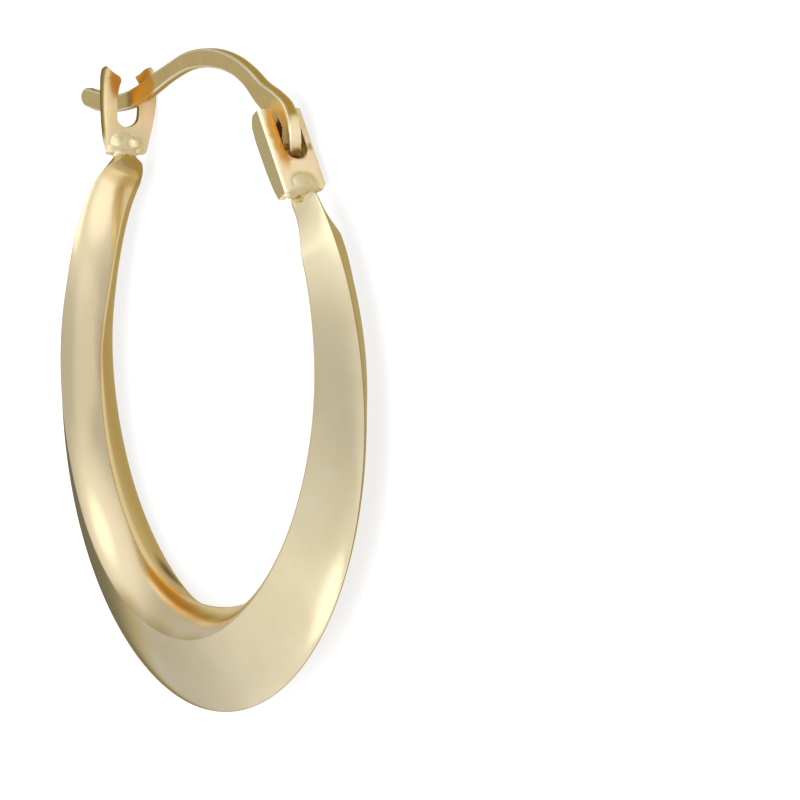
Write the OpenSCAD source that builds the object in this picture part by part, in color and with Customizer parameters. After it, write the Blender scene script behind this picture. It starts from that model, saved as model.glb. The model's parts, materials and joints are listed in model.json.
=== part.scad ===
// Hinged hoop earring with a graduated, hollow hoop, lying on its side.
// The hoop lies in the XY plane with Z through it: +Y points to the closure,
// +X to the hinge. Angles round the hoop are counted from its widest place,
// opposite the closure, and grow towards the hinge.

/* [Hoop] */
// Half width of the knife edge round the outside
edge_rx = 11.3; // [9:0.1:14]
// Half height of the knife edge
edge_ry = 11.6; // [9:0.1:14]
// How far the knife edge's middle is set towards the closure
edge_shift = 0.2; // [0:0.05:0.4]
// Depth of the flat faces at the widest place, from the knife edge to the crease
face_d = 2.8; // [2.2:0.1:3.4]
// Height of the arched inside over that crease
belly_d = 1.17; // [0.8:0.01:1.3]
// Half thickness of the hoop at the widest place
half_thick = 1.44; // [1.2:0.01:1.5]
// Angle where the hoop ends in the hinge bracket
hinge_end = 140; // [139:0.5:140.5]
// Angle where the hoop ends under the catch
catch_end = 142.5; // [141.5:0.5:143]

/* [Hinge bracket] */
// Thickness of the sheet that the bracket is folded from
sheet = 0.25; // [0.2:0.05:0.3]
// Width of the bracket's web
web_w = 1.9; // [1.8:0.05:2.2]
// Length of the bracket
web_len = 3.6; // [3.3:0.05:3.9]
// Depth of its two cheeks
cheek_d = 0.9; // [0.8:0.05:1]
// Width of the slot for the ear wire
slot_w = 1; // [0.8:0.05:1.1]
// Depth of the slot from the bracket's top
slot_len = 2.2; // [2.1:0.05:2.5]
// Lean of the bracket towards the middle of the closure
bracket_lean = 35; // [32:0.5:37]

/* [Hinge pin] */
// Diameter of the pin
pin_d = 0.32; // [0.28:0.02:0.34]
// Running clearance round the pin, on the radius
pin_gap = 0.04; // [0.02:0.01:0.08]
// How far down from the bracket's top the pin sits
pin_down = 1.45; // [1.4:0.05:1.5]
// How deep behind the web's outer face the pin sits
pin_in = 0.45; // [0.43:0.01:0.5]

/* [Ear wire] */
// Thickness of the flat ear wire at the hinge
wire_t = 0.5; // [0.44:0.02:0.54]
// Thickness that it is drawn down to at the catch
neck_t = 0.36; // [0.3:0.02:0.4]
// Radius of the eye round the pin
eye_r = 0.56; // [0.5:0.01:0.6]

/* [Catch] */
// Thickness of the catch's plate
catch_t = 0.3; // [0.25:0.05:0.35]
// Radius of the round seat that the wire snaps into
seat_r = 0.43; // [0.4:0.01:0.46]
// Turn of the catch's plate about its length
catch_turn = 12; // [8:1:14]

/* [Hidden] */

// Sweep of the hoop: turn between two sections, steps round the belly, half width
// of the knife edge. The belly is a pointed arch whose sides start at the crease and
// end at the seam in its middle with these slopes.
ring_step = 2.8;
belly_steps = 8;
edge_half = 0.05;
arch_top = 72;
arch_foot = 25;
// What the limbs lose of their thickness where they enter their fittings.
top_slim = 0.34;
back_slim = 0.35;
catch_swell = 0.2;
catch_neck = 0.34;
back_swell = 0.07;
// Root of the solder: radius, length, and its place in from the limb's end and edge.
root_r = 0.3;
root_len = 0.8;
root_deep = 0.3;
root_in = 0.66;
fold_r = 0.25;
wire_z = -0.12;
wire_steps = 60;
pin_len = web_w - sheet;
bracket_top = [5.05, 11.63];
seat_at = [-6.33, 10.68];
// The lying hoop leans on its widest place and on its fittings, a little off level.
rest_tilt = 0.8;
rest_height = 1.36;
rest_shift = -1.09;

// Rows of the ear wire's middle line from its tail to the pin: place along X,
// place along Y, height of the flat wire there.
X = 0;
Y = 1;
HIGH = 2;
wire_rows = [
    [-9.50, 11.21, 0.70],
    [-8.55, 11.10, 0.74],
    [-7.45, 11.10, 0.66],
    [-6.40, 11.27, 0.66],
    [-5.30, 11.62, 0.70],
    [-4.40, 12.03, 0.70],
    [-3.20, 12.54, 0.65],
    [-1.90, 13.00, 0.68],
    [-0.60, 13.20, 0.72],
    [0.60, 13.20, 0.70],
    [1.75, 13.01, 0.68],
    [2.75, 12.63, 0.72],
    [3.60, 12.14, 0.86],
    [4.46, 11.76, 1.06],
    [5.12, 11.36, 1.24],
    [5.46, 10.73, 1.22],
    [5.53, 10.12, 1.12]
];

// Outline of the catch's plate without its seat: place across the hoop, place
// along Y.
catch_outline = [
    [0.74, 9.2], [0.9, 9.36], [0.99, 9.9], [1.07, 11.2], [1.05, 12.32], [0.96, 12.54],
    [0.23, 12.07], [0.36, 11.62], [0.42, 11.2], [0.42, 10.7],
    [-0.44, 10.7], [-0.45, 11.3], [-0.52, 11.78], [-0.38, 12.06], [-0.78, 12.5],
    [-0.97, 12.5], [-1.16, 11.5], [-1.1, 10.9], [-0.94, 10.1], [-0.76, 9.35], [-0.6, 9.2]
];

// How the hoop slims from its widest place to the limbs' ends, one row every
// row_turn degrees: share of the face's depth, of the belly and of the thickness.
FACE = 0;
BELLY = 1;
THICK = 2;
row_turn = 36;
hoop_rows = [
    [1, 1, 1],
    [0.98, 0.78, 1],
    [0.82, 0.86, 0.87],
    [0.51, 1.07, 0.75],
    [0.295, 0.53, 0.61]
];

// Beads of solder: place along X, place along Y, height and radius.
catch_beads = [[-6.42, 9.2, 0, 0.48], [-6.42, 9.4, 0.32, 0.34], [-6.42, 9.42, -0.3, 0.36]];
hinge_beads = [[6.78, 8.67, -0.03, 0.55]];

// Smooth rise from 0 to 1 between two values.
function rise(value, from, to) =
    let (part = max(0, min(1, (value - from) / (to - from))))
    part * part * (3 - 2 * part);

// Smooth curve through rows of numbers, at a share s of the way from b to c.
function spline(a, b, c, d, s) =
    0.5 * (2 * b + (c - a) * s + (2 * a - 5 * b + 4 * c - d) * s * s
    + (3 * b - a - 3 * c + d) * s * s * s);

// Distance from the hoop's middle to its knife edge, an ellipse set towards the closure.
function edge_reach(turn) =
    let (
        a = pow(sin(turn) / edge_rx, 2) + pow(cos(turn) / edge_ry, 2),
        b = 2 * edge_shift * cos(turn) / pow(edge_ry, 2),
        c = pow(edge_shift / edge_ry, 2) - 1
    )
    (sqrt(b * b - 4 * a * c) - b) / (2 * a);

// The shares of hoop_rows at an angle, alike on both limbs.
function shares_at(turn) =
    let (
        last = len(hoop_rows) - 1,
        place = abs(turn) / row_turn,
        i = min(last - 1, floor(place))
    )
    spline(
        hoop_rows[abs(i - 1)], hoop_rows[i], hoop_rows[i + 1], hoop_rows[min(last, i + 2)],
        place - i
    );
function crease_reach(turn) = edge_reach(turn) - face_d * shares_at(turn)[FACE];
function belly_at(turn) = belly_d * shares_at(turn)[BELLY];
function half_at(turn) = half_thick * shares_at(turn)[THICK];

// Half thickness above and below the hoop's middle plane. The limbs are slimmer
// where they enter their fittings, and the one with the catch has a broad shoulder.
function shoulder_at(turn, swell) =
    swell * rise(-turn, 112, 136) - catch_neck * rise(-turn, 138, 142.5);
function top_at(turn) =
    half_at(turn) - top_slim * rise(turn, 126, 139) + shoulder_at(turn, catch_swell);
function back_at(turn) =
    half_at(turn) + back_swell * rise(turn, 120, 130) - back_slim * rise(turn, 132, 136.5)
    + shoulder_at(turn, catch_swell / 2);

// A point at a distance from the hoop's middle and a height.
function around(turn, radius, height) = [radius * sin(turn), -radius * cos(turn), height];

// A point of the arched inside from its slope: share of the belly's depth and of the
// half thickness.
function arch_deep(slope) = (cos(slope) - cos(arch_top)) / (cos(arch_foot) - cos(arch_top));
function arch_high(slope) = (sin(slope) - sin(arch_foot)) / (sin(arch_top) - sin(arch_foot));

// One closed section of the hoop, from the knife edge over the arched inside and back.
function section_at(turn) =
    let (
        edge = edge_reach(turn),
        crease = crease_reach(turn),
        belly = belly_at(turn),
        half = (top_at(turn) + back_at(turn)) / 2,
        mid = (top_at(turn) - back_at(turn)) / 2
    )
    concat(
        [around(turn, edge, edge_half)],
        [for (i = [0:belly_steps])
            let (
                side = 1 - 2 * i / belly_steps,
                slope = arch_foot + (arch_top - arch_foot) * abs(side)
            )
            around(turn, crease - belly * arch_deep(slope), mid + half * sign(side) * arch_high(slope))
        ],
        [around(turn, edge, -edge_half)]
    );

// Skin between the sections of a swept shape, closed by a fan at both ends.
function skin(rings, sides) = concat(
    [for (j = [1:sides - 2]) [0, j + 1, j]],
    [for (i = [0:rings - 2], j = [0:sides - 1])
        let (a = i * sides + j, b = i * sides + (j + 1) % sides)
        [a, b, a + sides]
    ],
    [for (i = [0:rings - 2], j = [0:sides - 1])
        let (a = i * sides + j, b = i * sides + (j + 1) % sides)
        [b, b + sides, a + sides]
    ],
    [for (j = [1:sides - 2], last = [(rings - 1) * sides]) [last, last + j, last + j + 1]]
);

// The bare hoop, swept from the catch to the hinge.
module hoop_tube() {
    spans = ceil((catch_end + hinge_end) / ring_step);
    sides = belly_steps + 3;
    points = [
        for (i = [0:spans]) each section_at(-catch_end + (catch_end + hinge_end) * i / spans)
    ];
    polyhedron(points = points, faces = skin(spans + 1, sides));
}

// Puts a shape drawn from the bracket's top edge, with +X out of the web and -Y
// down it, in its place.
module at_bracket() {
    translate([bracket_top[X], bracket_top[Y], 0])
        rotate([0, 0, bracket_lean])
            children();
}

// The bracket's folded section, seen along its length.
module folded_section() {
    difference() {
        union() {
            translate([-cheek_d, -web_w / 2])
                square([cheek_d - fold_r, web_w]);
            translate([-cheek_d, -web_w / 2 + fold_r])
                square([cheek_d, web_w - 2 * fold_r]);
            for (side = [-1, 1])
                translate([-fold_r, side * (web_w / 2 - fold_r)])
                    circle(fold_r, $fn = 32);
        }
        translate([-cheek_d - 1, -web_w / 2 + sheet])
            square([cheek_d + 1 - sheet, web_w - 2 * sheet]);
    }
}

// Side of the bracket: its cheeks bow out a little, and its lower end is cut
// parallel to the end of the limb. Shares of the cheek's depth and of the length.
cheek_outline = [
    [0.55, 0], [0.91, 0.11], [1, 0.39], [1, 0.64], [0.87, 0.86], [0.67, 1.036], [-0.11, 0.99], [-0.11, 0]
];
module bracket_side() {
    polygon([for (p = cheek_outline) [-cheek_d * p[0], -web_len * p[1]]]);
}

// Front of the bracket: its lower corner is rounded on the far side. Shares of the
// web's half width and of the length.
web_outline = [
    [-1.05, -0.03], [-1.05, 0.75], [-0.97, 0.83], [-0.84, 0.92], [-0.58, 1.06], [1.05, 1.06], [1.05, -0.03]
];
module bracket_front() {
    polygon([for (p = web_outline) [web_w / 2 * p[0], -web_len * p[1]]]);
}

module hinge_bracket() {
    at_bracket()
        difference() {
            intersection() {
                rotate([90, 0, 0])
                    linear_extrude(web_len)
                        folded_section();
                translate([0, 0, -web_w])
                    linear_extrude(2 * web_w)
                        bracket_side();
                translate([web_w, 0, 0])
                    rotate([0, -90, 0])
                        linear_extrude(2 * web_w)
                            bracket_front();
            }
            translate([-2 * sheet, -slot_len + slot_w / 2, wire_z])
                rotate([0, 90, 0])
                    cylinder(r = slot_w / 2, h = 4 * sheet, $fn = 48);
            translate([-2 * sheet, -slot_len + slot_w / 2, wire_z - slot_w / 2])
                cube([4 * sheet, slot_len, slot_w]);
            translate([-pin_in, -pin_down, -pin_len / 2])
                cylinder(d = pin_d, h = pin_len, $fn = 32);
        }
}

// The fork that the wire's neck snaps into, with its two barbs.
module catch() {
    translate([seat_at[X], 0, 0])
        rotate([0, -catch_turn, 0])
            rotate([0, -90, 0])
                linear_extrude(catch_t)
                    difference() {
                        polygon([for (p = catch_outline) p]);
                        translate([0, seat_at[Y]])
                            circle(seat_r, $fn = 48);
                    }
}

// Solder between a limb's end and its fitting: a root that reaches into the limb,
// and beads round it, given by their place, height and radius.
module solder(turn, beads) {
    translate(around(turn, edge_reach(turn) - root_in, 0))
        rotate([0, 0, turn > 0 ? turn : turn + 180])
            translate([-root_deep, 0, 0])
                rotate([0, 90, 0])
                    cylinder(r = root_r, h = root_len, $fn = 32);
    for (bead = beads)
        translate([bead[0], bead[1], bead[2]])
            sphere(bead[3], $fn = 32);
}

// Lays the upright work down so that it rests on its widest place and its fittings.
module lie_down() {
    translate([0, rest_shift, rest_height])
        rotate([-rest_tilt, 0, 0])
            children();
}

module hoop() {
    color("#d8c99a")
        lie_down()
            union() {
                hoop_tube();
                hinge_bracket();
                catch();
                solder(-catch_end, catch_beads);
                solder(hinge_end, hinge_beads);
            }
}

// Place on the smooth curve through the rows of a table.
function rows_at(rows, place) =
    let (
        last = len(rows) - 1,
        i = min(last - 1, floor(place)),
        s = place - i
    )
    spline(rows[max(0, i - 1)], rows[i], rows[i + 1], rows[min(last, i + 2)], s);
function wire_side(side) = [
    for (i = [0:wire_steps])
        let (
            place = (len(wire_rows) - 1) * i / wire_steps,
            here = rows_at(wire_rows, place),
            ahead = rows_at(wire_rows, min(len(wire_rows) - 1, place + 0.05)),
            behind = rows_at(wire_rows, max(0, place - 0.05)),
            dx = ahead[X] - behind[X],
            dy = ahead[Y] - behind[Y],
            run = sqrt(dx * dx + dy * dy)
        )
        [here[X] - side * dy / run * here[HIGH] / 2, here[Y] + side * dx / run * here[HIGH] / 2]
];

module wire_outline() {
    outer = wire_side(1);
    inner = wire_side(-1);
    polygon(concat(outer, [for (i = [len(inner) - 1:-1:0]) inner[i]]));
    translate([wire_rows[0][X], wire_rows[0][Y]])
        circle(d = wire_rows[0][HIGH], $fn = 48);
}

// Side view of the flat wire: full thickness at the hinge, thinner at the catch.
module wire_taper() {
    polygon([
        [-12, -neck_t / 2], [-4, -neck_t / 2], [4.5, -wire_t / 2], [12, -wire_t / 2],
        [12, wire_t / 2], [4.5, wire_t / 2], [-4, neck_t / 2], [-12, neck_t / 2]
    ]);
}

module ear_wire() {
    color("#b5a265")
        lie_down()
            difference() {
                union() {
                    intersection() {
                        translate([0, 0, wire_z - wire_t / 2])
                            linear_extrude(wire_t)
                                wire_outline();
                        translate([0, 2 * edge_ry, wire_z])
                            rotate([90, 0, 0])
                                linear_extrude(4 * edge_ry)
                                    wire_taper();
                    }
                    at_bracket()
                        translate([-pin_in, -pin_down, wire_z - wire_t / 2])
                            cylinder(r = eye_r, h = wire_t, $fn = 64);
                }
                at_bracket()
                    translate([-pin_in, -pin_down, -web_w])
                        cylinder(d = pin_d + 2 * pin_gap, h = 2 * web_w, $fn = 48);
            }
}

module hinge_pin() {
    color("#c9b27a")
        lie_down()
            at_bracket()
                translate([-pin_in, -pin_down, -pin_len / 2])
                    cylinder(d = pin_d, h = pin_len, $fn = 32);
}

hoop();
ear_wire();
hinge_pin();
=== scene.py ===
"""Looks of a hinged hoop earring of pale gold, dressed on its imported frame.

The earring lies on its side. Its pieces are shaped upright, in millimetres, with
+X towards the hinge and +Y towards the closure, and are then laid down as the
solids are.
"""

import json
import logging
import math
from dataclasses import dataclass
from enum import Enum
from functools import partial
from typing import Any, Callable, Sequence

import bmesh
import bpy
from mathutils import Matrix, Vector

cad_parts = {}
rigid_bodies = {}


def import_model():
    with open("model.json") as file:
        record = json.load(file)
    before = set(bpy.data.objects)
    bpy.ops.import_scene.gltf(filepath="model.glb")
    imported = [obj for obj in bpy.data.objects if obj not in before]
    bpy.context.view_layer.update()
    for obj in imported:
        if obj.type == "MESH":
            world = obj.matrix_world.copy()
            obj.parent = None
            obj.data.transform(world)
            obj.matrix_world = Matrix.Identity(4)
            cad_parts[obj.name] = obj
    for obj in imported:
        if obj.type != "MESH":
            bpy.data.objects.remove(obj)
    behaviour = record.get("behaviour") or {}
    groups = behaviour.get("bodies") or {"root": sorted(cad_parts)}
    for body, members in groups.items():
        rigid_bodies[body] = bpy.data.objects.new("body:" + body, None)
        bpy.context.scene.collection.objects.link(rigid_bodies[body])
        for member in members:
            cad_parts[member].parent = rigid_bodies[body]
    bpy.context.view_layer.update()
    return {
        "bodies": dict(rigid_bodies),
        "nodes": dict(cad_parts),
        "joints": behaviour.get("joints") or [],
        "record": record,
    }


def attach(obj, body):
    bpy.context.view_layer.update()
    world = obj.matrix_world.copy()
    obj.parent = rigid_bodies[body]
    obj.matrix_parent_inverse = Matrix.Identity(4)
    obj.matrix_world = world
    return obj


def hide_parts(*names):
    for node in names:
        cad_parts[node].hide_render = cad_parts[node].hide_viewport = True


LOG = logging.getLogger("earring")
Piece = bpy.types.Object
Socket = bpy.types.NodeSocket
MM = 0.001
UM = 1e-6
# Name of the attribute that says where a finish shows its second colour.
PAINT = "paint"
# Number of the input that says how much a mix node takes of its second value.
SHARE = 0
# Degrees past which an edge of sheet stays hard.
HARD_EDGE = 50

# The lying earring leans a little, on its widest place and its fittings.
REST_TILT = math.radians(0.8)
REST_HEIGHT = 1.36
REST_SHIFT = -1.09
LAID_DOWN = Matrix.Translation(
    Vector((0, REST_SHIFT, REST_HEIGHT)) * MM
) @ Matrix.Rotation(-REST_TILT, 4, "X")


class Body(Enum):
    """Moving bodies of the frame."""

    HOOP = "hoop"
    EAR_WIRE = "ear_wire"


class Slot(Enum):
    """Material slots of the record."""

    POLISHED = "polished_gold"
    SATIN = "satin_gold"
    PIN = "pin_gold"


class Zone(Enum):
    """Parts of the bracket's sheet, from edge to edge."""

    CHEEK = "cheek"
    WEB = "web"
    SLOT = "slot"


class Mix(Enum):
    """What a mix node mixes: its data type, the numbers of its inputs and its output."""

    NUMBERS = ("FLOAT", 2, 3, 0)
    COLOURS = ("RGBA", 6, 7, 2)

    def __init__(self, data: str, under: int, over: int, out: int) -> None:
        """Names the members of the value."""
        self.data = data
        self.under = under
        self.over = over
        self.out = out


# Small sums


def rise(value: float, low: float, high: float) -> float:
    """Smooth rise from 0 to 1 between two values.

    Args:
        value: The number to judge.
        low: Where the rise starts.
        high: Where it ends.

    Returns:
        The share of the rise.
    """
    part = max(0.0, min(1.0, (value - low) / (high - low)))
    return part * part * (3 - 2 * part)


def spline(rows: Sequence[Sequence[float]], place: float, mirrored: bool = False) -> list[float]:
    """Smooth curve through the rows of a table.

    Args:
        rows: Rows of numbers.
        place: Row number, with its fraction.
        mirrored: Whether the table goes on backwards before its first row.

    Returns:
        The row at that place.
    """
    last = len(rows) - 1
    i = max(0, min(last - 1, math.floor(place)))
    before = rows[abs(i - 1)] if mirrored else rows[max(0, i - 1)]
    s = place - i
    return [
        0.5
        * (
            2 * b
            + (c - a) * s
            + (2 * a - 5 * b + 4 * c - d) * s * s
            + (3 * b - a - 3 * c + d) * s**3
        )
        for a, b, c, d in zip(before, rows[i], rows[i + 1], rows[min(last, i + 2)])
    ]


def along(rows: Sequence[Sequence[float]], value: float) -> float:
    """Second column of a table at a value of its first, joined by straight lines.

    Args:
        rows: Rows of a rising first number and a second number.
        value: A value of the first number.

    Returns:
        The second number there.
    """
    if value <= rows[0][0]:
        return rows[0][1]
    for near, far in zip(rows, rows[1:]):
        if value <= far[0]:
            share = (value - near[0]) / (far[0] - near[0])
            return near[1] + (far[1] - near[1]) * share
    return rows[-1][1]


def linear(code: str) -> tuple[float, float, float, float]:
    """Linear colour of an sRGB hex code.

    Args:
        code: Six hex digits.

    Returns:
        Red, green, blue and alpha.
    """
    parts = [int(code[i : i + 2], 16) / 255 for i in (0, 2, 4)]
    red, green, blue = (
        c / 12.92 if c <= 0.04045 else ((c + 0.055) / 1.055) ** 2.4 for c in parts
    )
    return red, green, blue, 1.0


# Bench work


def start_clean() -> None:
    """Leaves edit mode and deselects everything."""
    if bpy.context.object and bpy.context.object.mode != "OBJECT":
        bpy.ops.object.mode_set(mode="OBJECT")
    bpy.ops.object.select_all(action="DESELECT")


def pick(*pieces: Piece) -> None:
    """Selects these pieces alone and makes the first one active.

    Args:
        pieces: The pieces.
    """
    start_clean()
    for piece in pieces:
        piece.select_set(True)
    bpy.context.view_layer.objects.active = pieces[0]


def spun_tube(
    name: str,
    sides: int,
    steps: int,
    place: Callable[[int, int], Vector],
    paint: Callable[[int, int], float],
) -> Piece:
    """A tube that is spun from a circle, shaped ring by ring and closed at its ends.

    Args:
        name: Name of the piece.
        sides: Points round a ring.
        steps: Rings less one.
        place: Gives a point's place in millimetres from its ring and its number.
        paint: Gives how much of the finish's second colour a point has.

    Returns:
        The tube.
    """
    start_clean()
    # Where this first ring is doesn't matter, because each point is moved later.
    bpy.ops.mesh.primitive_circle_add(
        vertices=sides, radius=0.25, location=(1, 0, 0), rotation=(math.pi / 2, 0, 0)
    )
    tube = bpy.context.object
    tube.name = tube.data.name = name
    bpy.ops.object.transform_apply(location=True, rotation=True, scale=True)
    bpy.ops.object.mode_set(mode="EDIT")
    bpy.ops.mesh.select_all(action="SELECT")
    bpy.ops.mesh.spin(steps=steps, angle=-math.pi, center=(0, 0, 0), axis=(0, 0, 1))
    bpy.ops.mesh.select_all(action="SELECT")
    bpy.ops.mesh.remove_doubles(threshold=1e-5)
    shell = bmesh.from_edit_mesh(tube.data)
    layer = shell.verts.layers.float.new(PAINT)
    ends: dict[int, list[bmesh.types.BMVert]] = {0: [], steps: []}
    for vert in shell.verts:
        x, y, z = vert.co
        ring = round(steps * abs(math.atan2(y, x)) / math.pi)
        point = round(sides * math.atan2(z, math.hypot(x, y) - 1) / (2 * math.pi)) % sides
        vert.co = place(ring, point) * MM
        vert[layer] = paint(ring, point)
        if ring in ends:
            ends[ring].append(vert)
    for ring_verts in ends.values():
        bpy.ops.mesh.select_all(action="DESELECT")
        for vert in ring_verts:
            vert.select = True
        shell.select_flush_mode()
        bpy.ops.mesh.edge_face_add()
    bpy.ops.mesh.select_all(action="SELECT")
    bpy.ops.mesh.normals_make_consistent(inside=False)
    bpy.ops.object.mode_set(mode="OBJECT")
    return tube


def shaped_sheet(
    name: str,
    columns: int,
    rows: int,
    place: Callable[[int, int], Vector | None],
    paint: Callable[[int, int], float] | None = None,
) -> Piece:
    """A sheet that starts as a flat grid and is shaped point by point.

    Args:
        name: Name of the piece.
        columns: Points across.
        rows: Points along.
        place: Gives a point's place in millimetres, or None where there is no metal.
        paint: Gives how much of the finish's second colour a point has.

    Returns:
        The sheet.
    """
    start_clean()
    bpy.ops.mesh.primitive_grid_add(
        x_subdivisions=columns - 1, y_subdivisions=rows - 1, size=2
    )
    sheet = bpy.context.object
    sheet.name = sheet.data.name = name
    bpy.ops.object.mode_set(mode="EDIT")
    bpy.ops.mesh.select_all(action="DESELECT")
    grid = bmesh.from_edit_mesh(sheet.data)
    layer = grid.verts.layers.float.new(PAINT) if paint else None
    for vert in grid.verts:
        column = round((vert.co.x + 1) / 2 * (columns - 1))
        row = round((vert.co.y + 1) / 2 * (rows - 1))
        spot = place(column, row)
        if paint:
            vert[layer] = paint(column, row)
        if spot is None:
            vert.select = True
        else:
            vert.co = spot * MM
    grid.select_flush_mode()
    bpy.ops.mesh.delete(type="VERT")
    bpy.ops.object.mode_set(mode="OBJECT")
    return sheet


def turn_face(sheet: Piece, toward: Vector) -> None:
    """Turns a sheet's face towards a direction.

    Args:
        sheet: The sheet, all of whose faces look out on the same side of it.
        toward: The direction.
    """
    face = max(sheet.data.polygons, key=lambda p: abs(p.normal.dot(toward)))
    if face.normal.dot(toward) < 0:
        sheet.data.flip_normals()


def finish_with(piece: Piece, kind: str, **settings: Any) -> None:
    """Adds a modifier and applies it.

    Args:
        piece: The piece.
        kind: Kind of modifier.
        settings: Its settings.
    """
    pick(piece)
    modifier = piece.modifiers.new(kind.lower(), kind)
    for key, value in settings.items():
        setattr(modifier, key, value)
    bpy.ops.object.modifier_apply(modifier=modifier.name)


def thicken(
    sheet: Piece, thick: float, broken: float, sharp: float, **settings: Any
) -> None:
    """Gives a sheet its thickness behind its face and breaks its sharp edges.

    Args:
        sheet: The sheet.
        thick: Its thickness in millimetres.
        broken: Width of the broken edges in millimetres.
        sharp: Degrees past which an edge is broken.
        settings: More settings of the modifier that gives the thickness.
    """
    finish_with(sheet, "SOLIDIFY", thickness=thick * MM, offset=-1, **settings)
    finish_with(
        sheet, "BEVEL", width=broken * MM, segments=2, limit_method="ANGLE",
        angle_limit=math.radians(sharp),
    )


def lay_down(piece: Piece, smooth_angle: float = 180) -> None:
    """Lays an upright piece down with the rest and shades it smooth.

    Args:
        piece: The piece.
        smooth_angle: Edges sharper than this, in degrees, stay hard.
    """
    piece.data.transform(LAID_DOWN)
    pick(piece)
    if smooth_angle < 180:
        bpy.ops.object.shade_smooth_by_angle(angle=math.radians(smooth_angle))
    else:
        bpy.ops.object.shade_smooth()


# Finishes


def add_node(
    tree: bpy.types.NodeTree,
    kind: str,
    settings: dict[str | int, Any] | None = None,
    links: dict[str | int, Socket] | None = None,
) -> bpy.types.Node:
    """Adds a node with its settings and links.

    Args:
        tree: The node tree.
        kind: The node's type name.
        settings: Properties by name, and input values by name or number.
        links: Sockets that feed its inputs.

    Returns:
        The node.
    """
    node = tree.nodes.new(kind)
    settings = settings or {}
    for key, value in settings.items():
        if isinstance(key, str) and key not in node.inputs:
            setattr(node, key, value)
    for key, value in settings.items():
        if not isinstance(key, str) or key in node.inputs:
            node.inputs[key].default_value = value
    for key, source in (links or {}).items():
        tree.links.new(source, node.inputs[key])
    return node


@dataclass(frozen=True)
class Stain:
    """A soft patch of another colour: a mark of the torch or the solder, or a painted reflection,
    highlight or shade.

    Attributes:
        title: What it stands for, shown on its node.
        middle: Its middle on the upright earring, in millimetres.
        reach: Its three radii in millimetres.
        lean: How far it is turned round the hoop's axis, in degrees.
        colour: Its colour.
        strength: How strong it is in the middle.
        soft: Share of its radius over which it fades.
        metal: How metallic its skin is, less than 1 where the pickle left it matt.
        rough: Roughness there.
        ragged: Whether its edge wanders.
        painted: Whether it keeps to the painted places.
    """

    title: str
    middle: tuple[float, float, float]
    reach: tuple[float, float, float]
    lean: float
    colour: str
    strength: float = 1.0
    soft: float = 0.6
    metal: float = 1.0
    rough: float = 0.3
    ragged: bool = True
    painted: bool = False


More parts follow.
